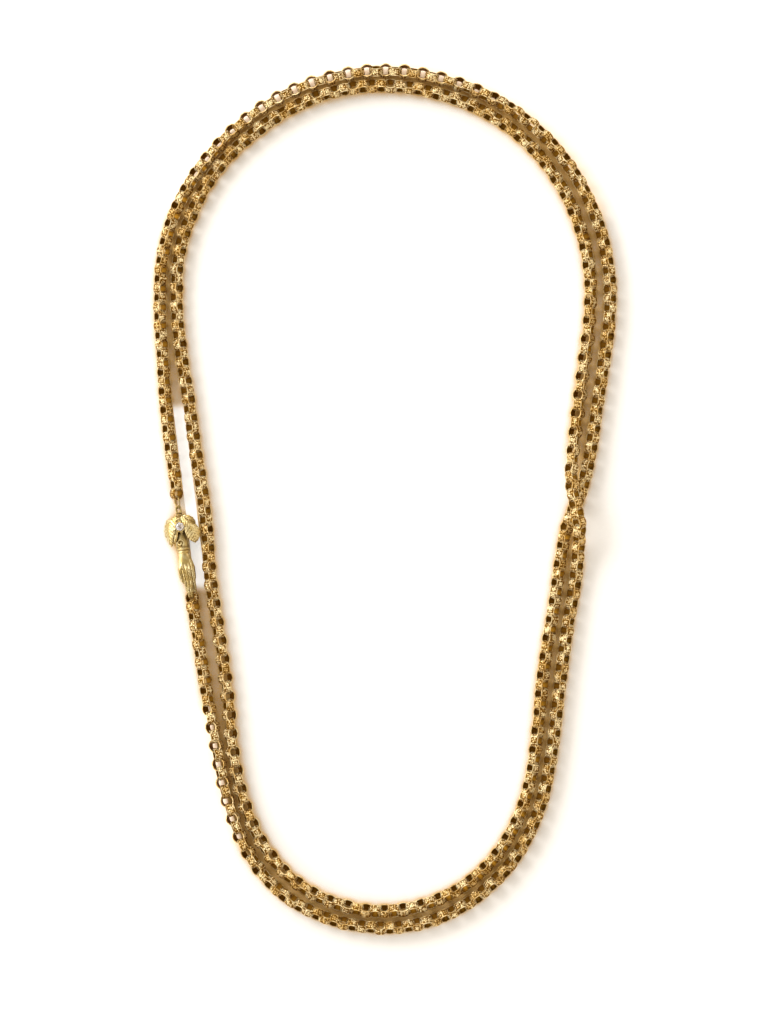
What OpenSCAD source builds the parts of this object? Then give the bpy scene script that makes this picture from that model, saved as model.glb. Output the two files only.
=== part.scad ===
// Long belcher chain worn doubled as a necklace, laid in an oval, closed by a cast hand clasp.
// X runs across the oval, Y along it with the clasp on the left, and Z up from the surface.

/* [Chain] */
// Outer diameter of a round link
link_d = 4.3; // [4.1:0.1:4.4]
// Width of a link's flat band
band_w = 2; // [1.8:0.1:2]
// Thickness of a link's band
band_t = 0.42; // [0.36:0.02:0.46]
// Width of the space that the linked chain takes up, flat side to flat side
chain_w = 4.5; // [4.3:0.1:4.5]
// Height of the space that the linked chain takes up
chain_h = 5.1; // [4.8:0.1:5.2]

/* [Clasp] */
// Angle between the clasp and the Y axis
clasp_turn = 9; // [8:0.5:10]
// Height of the middle of the wrist above the surface
wrist_z = 2.6; // [2.5:0.05:2.8]
// Radius of the wrist's collar
collar_r = 2.2; // [2:0.05:2.3]
// Thickness of the cuff's leaves
leaf_t = 0.5; // [0.4:0.05:0.7]
// Radius of a finger near the knuckles
finger_r = 0.62; // [0.55:0.01:0.64]
// Diameter of the cuff's stone
stone_d = 2.7; // [2.4:0.1:2.8]

/* [Rings] */
// Outer diameter of the jump ring
jump_d = 4.6; // [4.55:0.05:4.65]
// Thickness of the jump ring's wire
jump_wire = 0.45; // [0.4:0.05:0.5]
// Thickness of the bail's wire
bail_wire = 0.55; // [0.5:0.05:0.6]

/* [Hidden] */
$fn = 48;

gold = "goldenrod";
pale_gold = "palegoldenrod";

// Gap kept between pieces that touch
gap = 0.1;

// Centre line of the first turn: [across, along, rise above the other strand]
FIRST_ROUTE = [
    [-64, -35.5, 0], [-60.5, -58, 0], [-56.5, -81, 0], [-52, -102, 0], [-45.5, -118, 0],
    [-35.5, -130.5, 0], [-22.5, -138.5, 0], [-8, -142.5, 0], [7.5, -142.5, 0], [22, -138, 0],
    [35, -129, 0], [45, -117, 0], [51.5, -103, 0], [55.5, -85, 0], [58, -64, 0],
    [61, -42, 0], [63.5, -27, 0], [64.4, -16, 1.8], [64.6, -9, 5], [63.4, -3, 5.7],
    [62.2, 3, 5.5], [62, 9, 3.2], [62.6, 15, 1.4], [63.8, 25, 0], [66, 42, 0],
    [68.2, 60, 0], [68.2, 76, 0], [64.5, 92, 0], [57, 107, 0], [46.5, 119.5, 0],
    [33, 129, 0], [17.5, 135, 0], [1, 137.5, 0], [-15, 136, 0], [-30, 130.7, 0],
    [-43.5, 122, 0], [-55, 111, 0], [-63.5, 97, 0], [-68.5, 82, 0], [-69.5, 68, 0]
];

// Centre line of the second turn, from where the first one stops
SECOND_ROUTE = [
    [-69.5, 67.5, 0], [-68.3, 51, 0], [-65.5, 33, 0], [-63, 15, 0], [-60.6, 0, 0],
    [-59.2, -12, 0], [-58.4, -25, 0], [-55.4, -45, 0], [-52.6, -65, 0], [-50.5, -86, 0],
    [-46.5, -103, 0], [-39, -118, 0], [-27.5, -129.5, 0], [-13, -136, 0], [2, -137.5, 0],
    [17, -134, 0], [31, -125.5, 0], [41.5, -112.5, 0], [48, -96, 0], [51, -77, 0],
    [53, -57, 0], [56.4, -36, 0], [59, -18, 0], [61, -8.5, 0], [65, 1, 0],
    [68, 13, 0], [70.5, 29, 0], [73, 46, 0], [75, 63, 0], [74, 80, 0],
    [69, 97, 0], [60.5, 112, 0], [49, 124.5, 0], [34.5, 134, 0], [18, 140, 0],
    [1, 142.5, 0], [-16, 140.7, 0], [-32, 135.3, 0], [-46.5, 126, 0], [-58.5, 114, 0],
    [-68, 99.5, 0], [-73.6, 83, 0], [-75, 65, 0], [-74, 46, 0], [-72.8, 29, 0],
    [-71, 14, 0], [-69.6, 4.1, 0]
];

// Places of the rings beside the clasp
END_LINK_AT = [-69.6, 1.7];
JUMP_RING_AT = [-69.3, -1.2];
CLASP_AT = [-69.1, -2.3];
GRIP_LINK_Y = -31.2;

// Place of the wrist's axis beside the bail, and of the seam between cuff and hand
WRIST_X = -0.45;
SEAM_Y = -16.05;

// Height of the middle of the rings beside the clasp
RING_Z = 2.25;

// Lean of each ring's axis away from straight up, to the right
end_link_lean = 45;
jump_ring_lean = -67;
grip_link_lean = -28;

function unit(v) = v / norm(v);
function last(list) = len(list) - 1;
function tangent(path, i) =
    unit(path[min(i + 1, last(path))] - path[max(i - 1, 0)]);
function ring_point(centre, along, ref, r, angle, tall) =
    let (side = unit(cross(along, ref)), up = cross(side, along))
    centre + r * (cos(angle) * side + tall * sin(angle) * up);

// A closed tube along path, with a radius at each point, flat sides that face ref, and
// tall times as high as it is wide
module sweep(path, radii, sides, ref, tall = 1) {
    n = len(path);
    rings = [for (i = [0:n - 1], k = [0:sides - 1])
        ring_point(path[i], tangent(path, i), ref, radii[i], (k + 0.5) * 360 / sides, tall)];
    walls = [for (i = [0:n - 2], k = [0:sides - 1])
        let (m = (k + 1) % sides)
        [i * sides + k, i * sides + m, (i + 1) * sides + m, (i + 1) * sides + k]];
    start = [[for (k = [0:sides - 1]) sides - 1 - k]];
    end = [[for (k = [0:sides - 1]) (n - 1) * sides + k]];
    polyhedron(points = rings, faces = concat(walls, start, end), convexity = 10);
}

module chain_run(route) {
    sides = 8;
    path = [for (p = route) [p[0], p[1], chain_h / 2 + p[2]]];
    corner_r = chain_w / 2 / cos(180 / sides);
    sweep(path, [for (p = path) corner_r], sides, [0, 0, 1], chain_h / chain_w);
}

// A wide round link, its hole along Z
module link() {
    r = link_d / 2;
    bevel = band_t / 3;
    rotate_extrude()
        polygon([[r - band_t, -band_w / 2], [r - bevel, -band_w / 2], [r, -band_w / 4],
                 [r, band_w / 4], [r - bevel, band_w / 2], [r - band_t, band_w / 2]]);
}

module wire_ring(d, wire) {
    rotate_extrude()
        translate([(d - wire) / 2, 0])
            circle(d = wire);
}

module chain_first_turn() {
    color(gold) chain_run(FIRST_ROUTE);
}

module chain_second_turn() {
    color(gold) chain_run(SECOND_ROUTE);
}

module end_link() {
    color(gold)
        translate([END_LINK_AT[0], END_LINK_AT[1], RING_Z])
            rotate([0, end_link_lean, 0])
                link();
}

module jump_ring() {
    color(pale_gold)
        translate([JUMP_RING_AT[0], JUMP_RING_AT[1], RING_Z])
            rotate([0, jump_ring_lean, clasp_turn])
                wire_ring(jump_d, jump_wire);
}

// Places a piece of the clasp, drawn with its bail at the origin and its fingers along -Y
module on_clasp() {
    translate([CLASP_AT[0], CLASP_AT[1], 0])
        rotate([0, 0, clasp_turn])
            children();
}

module grip_link() {
    color(gold)
        on_clasp()
            translate([-0.1, GRIP_LINK_Y, RING_Z])
                rotate([0, grip_link_lean, 0])
                    link();
}

// Wire loop in front of the cuff, with its stem
module bail() {
    loop_r = 0.85;
    leg = 1.4;
    loop_y = -loop_r - bail_wire / 2;
    translate([0, loop_y, RING_Z]) {
        rotate_extrude(angle = 180, $fn = 24)
            translate([loop_r, 0])
                circle(d = bail_wire, $fn = 12);
        for (side = [-1, 1])
            translate([side * loop_r, 0, 0])
                rotate([90, 0, 0])
                    cylinder(d = bail_wire, h = leg, $fn = 12);
        translate([0, -leg, 0])
            rotate([90, 0, 0])
                cylinder(r1 = loop_r + bail_wire / 2, r2 = 1.3, h = 1.6, $fn = 24);
    }
}

// Bands that follow each other along the wrist, from [radius, distance from the bail] pairs
module bands(profile) {
    for (i = [1:last(profile)])
        hull()
            for (p = [profile[i - 1], profile[i]])
                translate([0, -p[1], wrist_z])
                    rotate([90, 0, 0])
                        cylinder(r = p[0], h = 0.02, $fn = 28);
}

// Bell that the leaves spring from, and the narrow wrist inside it
module cuff_bell() {
    bands([[1.3, 3.5], [2.1, 4.4], [2.5, 5.6], [2.5, 7], [1.6, 8.2], [1.6, 11.6]]);
}

// Wrist collar, which ends in a narrower rim at the seam
module collar() {
    translate([WRIST_X, 0, 0])
        bands([[1.7, 11], [collar_r, 11.5], [collar_r, 14.6], [1.85, 15], [1.95, 15.4],
               [1.8, -SEAM_Y - 0.02]]);
}

// Half width of a leaf at u, from 0 at its foot to 1 at its tip, with a scalloped edge
function leaf_half(u, width, scallop) =
    0.2 + (width / 2 - 0.2) * pow(sin(180 * pow(u, 0.85)), 0.6)
    + scallop * abs(sin(180 * 7 * u));

// Height of a leaf's upper face at u along and v across, from -1 to 1
function leaf_rise(u, v, arch) = arch * sin(150 * u) - 0.35 * arch * v * v + 0.5 * u * u;

// A thin arched leaf along -Y from the origin, its upper face towards +Z
module leaf(length, width, arch, scallop = 0) {
    rows = scallop > 0 ? 21 : 10;
    cols = 4;
    function point(i, j, drop) =
        let (u = i / rows, v = 2 * j / cols - 1)
        [v * leaf_half(u, width, scallop), -length * u, leaf_rise(u, v, arch) - drop];
    function spot(i, j, layer) = layer * (rows + 1) * (cols + 1) + i * (cols + 1) + j;
    points = [for (layer = [0, 1], i = [0:rows], j = [0:cols]) point(i, j, layer * leaf_t)];
    top = [for (i = [0:rows - 1], j = [0:cols - 1])
        [spot(i, j, 0), spot(i, j + 1, 0), spot(i + 1, j + 1, 0), spot(i + 1, j, 0)]];
    under = [for (i = [0:rows - 1], j = [0:cols - 1])
        [spot(i, j, 1), spot(i + 1, j, 1), spot(i + 1, j + 1, 1), spot(i, j + 1, 1)]];
    edges = [for (i = [0:rows - 1], j = [0, cols])
        j == 0
        ? [spot(i, 0, 0), spot(i + 1, 0, 0), spot(i + 1, 0, 1), spot(i, 0, 1)]
        : [spot(i, j, 0), spot(i, j, 1), spot(i + 1, j, 1), spot(i + 1, j, 0)]];
    ends = [for (j = [0:cols - 1], i = [0, rows])
        i == 0
        ? [spot(0, j, 0), spot(0, j, 1), spot(0, j + 1, 1), spot(0, j + 1, 0)]
        : [spot(i, j, 0), spot(i, j + 1, 0), spot(i, j + 1, 1), spot(i, j, 1)]];
    triangles = [for (f = concat(top, under, edges, ends), k = [0, 1])
        [f[0], f[k + 1], f[k + 2]]];
    polyhedron(points = points, faces = triangles, convexity = 6);
}

// Leaves of the cuff: [turn about the wrist, foot height, flare, sideways, length, width, arch,
// scallop, distance of the foot from the bail]
LEAVES = [
    [-40, 2.5, 12, -13, 9.6, 5.6, 1.1, 0.05, 4],
    [-14, 2.1, 6, -22, 8, 1.4, 0.8, 0, 5.2],
    [0, 2.1, 12, 0, 5.4, 2.6, 0.7, 0, 4.2],
    [37, 2.4, 12, 17, 8.8, 5.7, 1.1, 0.15, 4.6],
    [-62, 1.6, 30, -24, 5.2, 4.4, 0.7, 0, 3.7],
    [60, 1.6, 30, 24, 4.8, 4.4, 0.7, 0, 3.7],
    [100, 1.9, 14, 0, 6.8, 4.6, 0.8, 0, 4.6],
    [150, 1.3, 4, 6, 7.2, 5, 0.4, 0, 4.8],
    [210, 1.3, 4, -6, 7.2, 5, 0.4, 0, 4.8],
    [-100, 1.9, 14, 0, 7.6, 4.6, 0.8, 0, 4.6]
];

module cuff_leaves() {
    for (l = LEAVES)
        translate([0, -l[8], wrist_z])
            rotate([0, l[0], 0])
                translate([0, 0, l[1]])
                    rotate([-l[2], 0, 0])
                        rotate([0, 0, l[3]])
                            leaf(l[4], l[5], l[6], l[7]);
}

// Place of the stone's girdle on the cuff
STONE_AT = [-0.25, -7.1, 6.4];

// Cup with six claws that holds the stone
module collet() {
    r = stone_d / 2;
    cup_r = r + 0.36;
    claws = 6;
    translate(STONE_AT) {
        difference() {
            translate([0, 0, -2.6])
                cylinder(r = cup_r, h = 2.55, $fn = 24);
            translate([0, 0, -1.3])
                cylinder(r1 = 0.35, r2 = r + 1.8 * gap, h = 1.3, $fn = 24);
        }
        for (k = [0:claws - 1])
            rotate([0, 0, 11 + k * 360 / claws])
                hull() {
                    translate([cup_r, 0, -1])
                        cylinder(r = 0.2, h = 0.2, $fn = 8);
                    translate([r + 0.22, 0, 0.3])
                        sphere(r = 0.17, $fn = 10);
                }
    }
}

// Room for the stone and its cup among the leaves
module stone_well() {
    translate([STONE_AT[0], STONE_AT[1], STONE_AT[2] - 1.4])
        cylinder(r = stone_d / 2 + 0.25, h = 5, $fn = 24);
}

// Flat spiral of wire on the collar
module scroll() {
    steps = 40;
    turns = 1.75;
    outer_r = 1.15;
    path = [for (i = [0:steps])
        let (a = 360 * turns * i / steps, r = outer_r * (1 - 0.85 * i / steps))
        [r * cos(a), r * sin(a), 0.25 * i / steps]];
    radii = [for (i = [0:steps]) 0.27];
    translate([WRIST_X, -13, wrist_z])
        rotate([0, -24, 0])
            translate([0, 0, collar_r - 0.08])
                sweep(path, radii, 6, [0, 0, 1]);
}

module clasp_cuff() {
    color(pale_gold)
        on_clasp()
            intersection() {
                union() {
                    difference() {
                        union() {
                            cuff_bell();
                            cuff_leaves();
                        }
                        stone_well();
                    }
                    bail();
                    collar();
                    collet();
                    scroll();
                }
                translate([-20, -25, 0])
                    cube([40, 30, 20]);
            }
}

// Brilliant: table, crown, girdle and pavilion
module cuff_stone() {
    r = stone_d / 2;
    color("white")
        on_clasp()
            translate(STONE_AT)
                hull() {
                    cylinder(r = 0.55 * r, h = 0.32 * r, $fn = 8);
                    rotate([0, 0, 22.5])
                        cylinder(r = 0.83 * r, h = 0.2 * r, $fn = 8);
                    translate([0, 0, -0.04 * r])
                        rotate([0, 0, 11.25])
                            cylinder(r = r, h = 0.08 * r, $fn = 16);
                    translate([0, 0, -0.8 * r])
                        cylinder(r = 0.05, h = 0.1, $fn = 8);
                }
}

// Fingers: [side at the knuckle, side at the tip, whether it closes round the link]
FINGERS = [[-1.45, -1.15, 0], [-0.5, -0.48, 1], [0.5, 0.32, 1], [1.5, 1.05, 0]];

// A finger from the knuckle to the tip: [distance from the bail, height, sideways]
LONG_FINGER = [[20, 3.2, 0], [21.6, 3.75, 0], [24, 4, 0], [26.8, 4.1, -0.1],
               [28.9, 4.15, -0.4], [30.1, 3.7, -0.45], [30.4, 2.6, -0.1], [30.35, 1.5, 0.35],
               [29.7, 0.75, 0.7], [28.4, 0.55, 0.8], [27.2, 0.65, 0.6]];
SHORT_FINGER = [[20, 3, 0], [21.6, 3.5, 0], [24, 3.75, 0], [26.4, 3.75, 0],
                [27.9, 3.45, 0], [28.4, 3.1, 0]];

module finger(knuckle_x, tip_x, closed) {
    bend = closed ? LONG_FINGER : SHORT_FINGER;
    reach = 28;
    path = [for (p = bend)
        let (u = min(1, (p[0] - bend[0][0]) / (reach - bend[0][0])))
        [knuckle_x + (tip_x - knuckle_x) * u + p[2], -p[0], p[1]]];
    radii = [for (i = [0:last(bend)])
        i == last(bend) ? 0.2 : finger_r - 0.25 * min(1, i / 5)];
    sweep(path, radii, 8, [1, 0, 0]);
}

module thumb() {
    path = [[-1.3, -18.8, 2.9], [-2.1, -20.6, 3.3], [-2.5, -22.6, 3.4], [-2.35, -24.4, 3.2],
            [-1.9, -25.8, 2.9], [-1.75, -26.2, 2.8]];
    sweep(path, [0.7, 0.75, 0.66, 0.6, 0.5, 0.2], 8, [1, 0, 0]);
}

module palm() {
    hull() {
        translate([WRIST_X, SEAM_Y - gap, wrist_z])
            rotate([90, 0, 0])
                cylinder(r = 1.85, h = 0.4);
        translate([WRIST_X, -18.4, wrist_z])
            scale([2.35, 1.6, 1.75])
                sphere(1);
        for (p = [[-1.6, -21.2, 2.3], [1.15, -21.2, 2.3]])
            translate(p)
                sphere(1.35);
        for (p = [[-1.1, -24.6, 1.9], [0.9, -24.6, 1.9]])
            translate(p)
                sphere(1.1);
    }
}

module clasp_hand() {
    color(pale_gold)
        on_clasp() {
            palm();
            thumb();
            for (f = FINGERS)
                finger(f[0], f[1], f[2] == 1);
        }
}

chain_first_turn();
chain_second_turn();
end_link();
jump_ring();
clasp_cuff();
cuff_stone();
clasp_hand();
grip_link();
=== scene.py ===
"""A long belcher chain worn doubled, laid in an oval and closed by a cast hand clasp."""

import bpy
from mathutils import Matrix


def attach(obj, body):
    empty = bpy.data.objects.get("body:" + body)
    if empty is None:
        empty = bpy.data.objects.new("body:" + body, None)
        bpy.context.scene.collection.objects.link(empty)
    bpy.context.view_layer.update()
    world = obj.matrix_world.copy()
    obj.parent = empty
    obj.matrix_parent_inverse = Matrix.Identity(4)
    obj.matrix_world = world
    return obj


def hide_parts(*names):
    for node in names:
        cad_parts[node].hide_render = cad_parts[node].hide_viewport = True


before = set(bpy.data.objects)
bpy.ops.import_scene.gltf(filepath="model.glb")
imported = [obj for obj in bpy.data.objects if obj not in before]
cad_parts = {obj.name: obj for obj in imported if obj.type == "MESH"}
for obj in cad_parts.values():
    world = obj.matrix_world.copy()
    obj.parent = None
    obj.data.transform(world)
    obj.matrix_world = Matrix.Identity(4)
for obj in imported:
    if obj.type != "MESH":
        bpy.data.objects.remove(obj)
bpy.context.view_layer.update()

import math

import bmesh
import bpy
from mathutils import Matrix, Vector

MM = 0.001

# Sizes of the necklace, in millimetres
LINK_D = 4.75
BAND_W = 2.6
BAND_T = 0.42
CHAIN_W = 5.4
END_LINK_D = 4.35
END_BAND_W = 2.1
LINKS = 442
FIRST_TURN_LINKS = 198

# Centre line of the whole chain from the grip link to the end link:
# [across, along, rise above the other strand, roll of the links in degrees]
ROUTE = [
    [-64.32, -33.13, -0.45, -24], [-64, -35.5, 0, 8], [-60.5, -58, 0, 6], [-56.5, -81, 0, -40],
    [-52, -102, 0, -44], [-45.5, -118, 0, -26], [-35.5, -130.5, 0, 0], [-22.5, -138.5, 0, 0],
    [-8, -142.5, 0, 0], [7.5, -142.5, 0, 0], [22, -138, 0, 0], [35, -129, 0, 0],
    [45, -117, 0, 0], [51.5, -103, 0, 0], [55.5, -85, 0, 0], [58, -64, 0, 0],
    [61, -42, 0, 0], [63.5, -27, 0, 0], [64.4, -16, 1.8, 0], [64.6, -9, 5, 0],
    [63.4, -3, 5.7, 0], [62.2, 3, 5.5, 0], [62, 9, 3.2, 0], [62.6, 15, 1.4, 8],
    [63.8, 25, 0, 16], [66, 42, 0, 16], [68.2, 60, 0, 6], [68.2, 76, 0, 0],
    [64.5, 92, 0, 0], [57, 107, 0, 0], [46.5, 119.5, 0, 0], [33, 129, 0, -4],
    [17.5, 135, 0, -12], [1, 137.5, 0, -14], [-15, 136, 0, -12], [-30, 130.7, 0, -6],
    [-43.5, 122, 0, 0], [-55, 111, 0, 0], [-63.5, 97, 0, 0], [-68.5, 82, 0, 0],
    [-69.5, 68, 0, 0], [-68.3, 51, 0, 0], [-65.5, 33, 0, 0], [-63, 15, 0, 0],
    [-60.6, 0, 0, 0], [-59.2, -12, 0, 0], [-58.4, -25, 0, 6], [-55.4, -45, 0, 12],
    [-52.6, -65, 0, 16], [-50.5, -86, 0, 20], [-46.5, -103, 0, 20], [-39, -118, 0, 12],
    [-27.5, -129.5, 0, 0], [-13, -136, 0, 0], [2, -137.5, 0, 0], [17, -134, 0, 0],
    [31, -125.5, 0, 0], [41.5, -112.5, 0, 0], [48, -96, 0, 0], [51, -77, 0, 0],
    [53, -57, 0, 0], [56.4, -36, 0, 0], [59, -18, 0, 0], [61, -8.5, 0, 0],
    [65, 1, 0, 0], [68, 13, 0, 0], [70.5, 29, 0, 0], [73, 46, 0, 0],
    [75, 63, 0, 0], [74, 80, 0, 0], [69, 97, 0, 0], [60.5, 112, 0, 0],
    [49, 124.5, 0, 0], [34.5, 134, 0, -12], [18, 140, 0, -40], [1, 142.5, 0, -45],
    [-16, 140.7, 0, -45], [-32, 135.3, 0, -42], [-46.5, 126, 0, -34], [-58.5, 114, 0, -20],
    [-68, 99.5, 0, -6], [-73.6, 83, 0, 0], [-75, 65, 0, 0], [-74, 46, 0, 0],
    [-72.8, 29, 0, 0], [-71, 14, 0, 0], [-69.6, 4.1, -0.2, 2], [-69.6, 1.7, -0.45, 12],
]

# Colours of the paper with its painted shade and painted glow, of the two golds with their dirt
# and painted shade, and of the stone
PAPER_LOW, PAPER_HIGH = (0.93, 0.93, 0.93, 1), (0.97, 0.97, 0.97, 1)
# painted shade: brown in narrow gaps and tan in wider ones between the strands, pale cream in the
# glow places
BROWN_PAINTED_SHADE, TAN_PAINTED_SHADE = (0.4, 0.23, 0.06, 1), (0.8, 0.52, 0.18, 1)
CREAM_PAINTED_SHADE = (0.97, 0.89, 0.83, 1)
# painted light: glow of the paper in the glow places, where the strands shade it
NO_GLOW, LINK_GLOW, GAP_GLOW = (0, 0, 0, 1), (0.32, 0.21, 0.1, 1), (0.4, 0.45, 0.47, 1)
CHAIN_DEEP, CHAIN_PALE = (0.73, 0.48, 0.165, 1), (0.87, 0.72, 0.41, 1)
# dirt and painted shade: near-black brown inside the links and in the engraving's hollows
CHAIN_DIRT_AND_SHADE_INSIDE, CHAIN_DIRT_AND_SHADE_OUTSIDE = (0.2, 0.095, 0.009, 1), (0.18, 0.08, 0.008, 1)
CLASP_DEEP, CLASP_PALE = (0.56, 0.42, 0.16, 1), (0.71, 0.6, 0.325, 1)
# dirt and painted shade: brown of the clasp's hollows, grooves and shaded undersides
CLASP_DIRT_AND_SHADE = (0.19, 0.11, 0.025, 1)
STONE_LOW, STONE_HIGH = (0.96, 0.95, 1.0, 1), (1.0, 0.98, 1.0, 1)


# Nodes written as formulas

def feed(tree, socket, value):
    """Joins a socket to another one, or gives it a plain value."""
    if isinstance(value, Wire):
        value = value.socket
    if isinstance(value, bpy.types.NodeSocket):
        tree.links.new(value, socket)
    else:
        socket.default_value = value


def put(tree, kind, inputs=None, **settings):
    """Adds a node to a tree with its settings and its inputs, by name or number."""
    node = tree.nodes.new(kind)
    for name, value in settings.items():
        setattr(node, name, value)
    for key, value in (inputs or {}).items():
        feed(tree, node.inputs[key], value)
    return node


class Wire:
    """A number that runs through a node tree."""

    def __init__(self, tree, socket):
        self.tree, self.socket = tree, socket

    def calc(self, operation, *others):
        """What a Math node makes of this number and the others."""
        node = put(self.tree, "ShaderNodeMath", dict(enumerate((self, *others))),
                   operation=operation)
        return Wire(self.tree, node.outputs[0])

    def __add__(self, other):
        return self.calc("ADD", other)

    def __sub__(self, other):
        return self.calc("SUBTRACT", other)

    def __mul__(self, other):
        return self.calc("MULTIPLY", other)

    def __truediv__(self, other):
        return self.calc("DIVIDE", other)

    def ramp(self, low, high):
        """0 below low and 1 above high, with a soft step between."""
        node = put(self.tree, "ShaderNodeMapRange", {0: self, 1: low, 2: high},
                   interpolation_type="SMOOTHSTEP")
        return Wire(self.tree, node.outputs[0])


def length_of(a, b):
    """The length of an offset, from its two parts."""
    return (a * a + b * b).calc("SQRT")


def parts_of(tree, vector):
    """The three numbers of a vector."""
    node = put(tree, "ShaderNodeSeparateXYZ", {0: vector})
    return [Wire(tree, socket) for socket in node.outputs]


def mixed(tree, share, low, high):
    """Two colours mixed by share, from the low one at 0 to the high one at 1."""
    node = put(tree, "ShaderNodeMix", {0: share, 6: low, 7: high}, data_type="RGBA",
               clamp_factor=True)
    return node.outputs[2]


def noise(tree, spot, scale, detail):
    """Soft noise from 0 to 1, with its scale to the metre."""
    node = put(tree, "ShaderNodeTexNoise", {"Vector": spot, "Scale": scale, "Detail": detail})
    return Wire(tree, node.outputs[0])


def own_number(tree, count):
    """A number from 0 to 1 that belongs to each link or floret by its count."""
    node = put(tree, "ShaderNodeTexWhiteNoise", {"W": count}, noise_dimensions="1D")
    return Wire(tree, node.outputs[0])


def place_in(tree):
    """The place on the piece, in metres."""
    return put(tree, "ShaderNodeTexCoord").outputs["Object"]


def new_finish(name):
    """A new material with its node tree and its shader."""
    finish = bpy.data.materials.new(name)
    finish.use_nodes = True
    return finish, finish.node_tree, finish.node_tree.nodes["Principled BSDF"]


def new_group(name, inputs, outputs):
    """A shader node group with its input and output nodes."""
    tree = bpy.data.node_groups.new(name, "ShaderNodeTree")
    for label, kind, value in inputs:
        socket = tree.interface.new_socket(label, in_out="INPUT", socket_type=kind)
        if value is not None:
            socket.default_value = value
    for label, kind in outputs:
        tree.interface.new_socket(label, in_out="OUTPUT", socket_type=kind)
    return tree, tree.nodes.new("NodeGroupInput"), tree.nodes.new("NodeGroupOutput")


def show(name, data):
    """Puts a mesh, curve, lamp or camera in the scene as an object."""
    thing = bpy.data.objects.new(name, data)
    bpy.context.collection.objects.link(thing)
    return thing


# Camera, floor and light

def add_camera():
    """Straight above the oval, three photo pixels to a millimetre at the chain's middle."""
    height = 1.2
    photo_height, pixels_to_mm = 1024, 3
    half_view = photo_height / pixels_to_mm / 2 * MM
    lens = bpy.data.cameras.new("photo_view")
    lens.sensor_width = 36
    lens.lens = lens.sensor_width / 2 * height / half_view
    lens.clip_start, lens.clip_end = 0.05, 20
    camera = show("photo_view", lens)
    camera.location = (-0.33 * MM, -4.5 * MM, height + CHAIN_W / 2 * MM)
    bpy.context.scene.camera = camera


def add_softbox(name, at, size, power, colour):
    """A square soft light that faces the middle of the oval."""
    lamp = bpy.data.lights.new(name, "AREA")
    lamp.size, lamp.energy, lamp.color = size, power, colour
    softbox = show(name, lamp)
    softbox.location = at
    softbox.rotation_euler = Vector(at).to_track_quat("Z", "Y").to_euler()


def painted_glow_places(x, y):
    """Where a painted glow and a pale painted shade keep the paper white, from its place in
    millimetres, and the gap's part of it.

    It is white below the open links at the outer edge: along the top, whose curve is an ellipse,
    and at the lower left, where two straight lines that meet at a bend follow it. It is white too
    in the gap between the strands beside and above the clasp.
    """
    half_across, half_along, middle_y = 75, 77.5, 65
    top = length_of(x / half_across, (y - middle_y) / half_along).ramp(0.985, 0.995)
    top = top * y.ramp(90, 100)

    bend_x, bend_y = -52.4, -102
    above, below = (x * -1.0 + bend_x - (y - bend_y) * slope for slope in (0.19, 0.4))
    side = above.calc("MAXIMUM", below).ramp(-0.4, 0.4)
    side = side * y.ramp(-66, -72) * y.ramp(-117, -113)

    gap_x, gap_y, gap_slope = -69.3, 33, 0.123
    gap = (x - gap_x + (y - gap_y) * gap_slope).calc("ABSOLUTE").ramp(2, 1.7)
    gap = gap * y.ramp(-32, -28) * y.ramp(gap_y, 29)
    return top.calc("MAXIMUM", side).calc("MAXIMUM", gap), gap


def add_floor():
    """Matt paper: white in the open; a painted brown and tan shade, warm as from light off the
    gold, where gold is close around; in the glow places a pale painted shade and a painted glow
    keep it white.
    """
    mesh = bpy.data.meshes.new("paper_floor")
    half = 4.0
    mesh.from_pydata([(-half, -half, 0), (half, -half, 0), (half, half, 0), (-half, half, 0)],
                     [], [(0, 1, 2, 3)])
    floor = show("paper_floor", mesh)
    paper, tree, shader = new_finish("white_paper")
    spot = place_in(tree)
    paper_tint = mixed(tree, noise(tree, spot, 900.0, 3.0), PAPER_LOW, PAPER_HIGH)
    x, y, _ = parts_of(tree, spot)
    white, gap = painted_glow_places(x / MM, y / MM)
    near = put(tree, "ShaderNodeAmbientOcclusion", {"Distance": 7 * MM}, samples=10)
    air = Wire(tree, near.outputs["AO"])
    # painted shade: the paper darkens to brown and tan where gold stands close round it, warm as
    # from light off the gold
    painted_warm_shade = mixed(tree, air.ramp(0.15, 0.42), BROWN_PAINTED_SHADE, TAN_PAINTED_SHADE)
    painted_shade_near_gold = mixed(tree, white, painted_warm_shade, CREAM_PAINTED_SHADE)
    feed(tree, shader.inputs["Base Color"],
         mixed(tree, (air - white * 0.14).ramp(0.5, 0.72), painted_shade_near_gold, paper_tint))
    # painted light: the paper glows in the glow places, more where the strands shade it
    glow = mixed(tree, gap, LINK_GLOW, GAP_GLOW)
    feed(tree, shader.inputs["Emission Color"],
         mixed(tree, white * air.ramp(0.95, 0.75), NO_GLOW, glow))
    shader.inputs["Emission Strength"].default_value = 1.0
    shader.inputs["Roughness"].default_value = 0.9
    shader.inputs["Specular IOR Level"].default_value = 0.2
    mesh.materials.append(paper)


def light_studio():
    """A light tent: bright round the sides, brightest on the left, and dim overhead."""
    scene = bpy.context.scene
    scene.view_settings.view_transform = "Standard"
    world = bpy.data.worlds.new("light_tent")
    world.use_nodes = True
    tree = world.node_tree
    tent = tree.nodes["Background"]
    x, y, z = parts_of(tree, put(tree, "ShaderNodeTexCoord").outputs["Generated"])
    sides = z.ramp(0.0, 0.12) * z.ramp(0.75, 0.5)
    left = (x * -0.8 + y * 0.6).ramp(-0.6, 0.9)
    feed(tree, tent.inputs["Strength"], sides * (left * 2.05 + 1.0) + 0.5)
    feed(tree, tent.inputs["Color"],
         mixed(tree, left, (1.0, 0.87, 0.7, 1), (1.0, 0.985, 0.965, 1)))
    scene.world = world
    add_softbox("key_softbox", (-0.7, 0.55, 0.6), 0.42, 5.4, (1.0, 0.97, 0.93))


# Finishes

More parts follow.
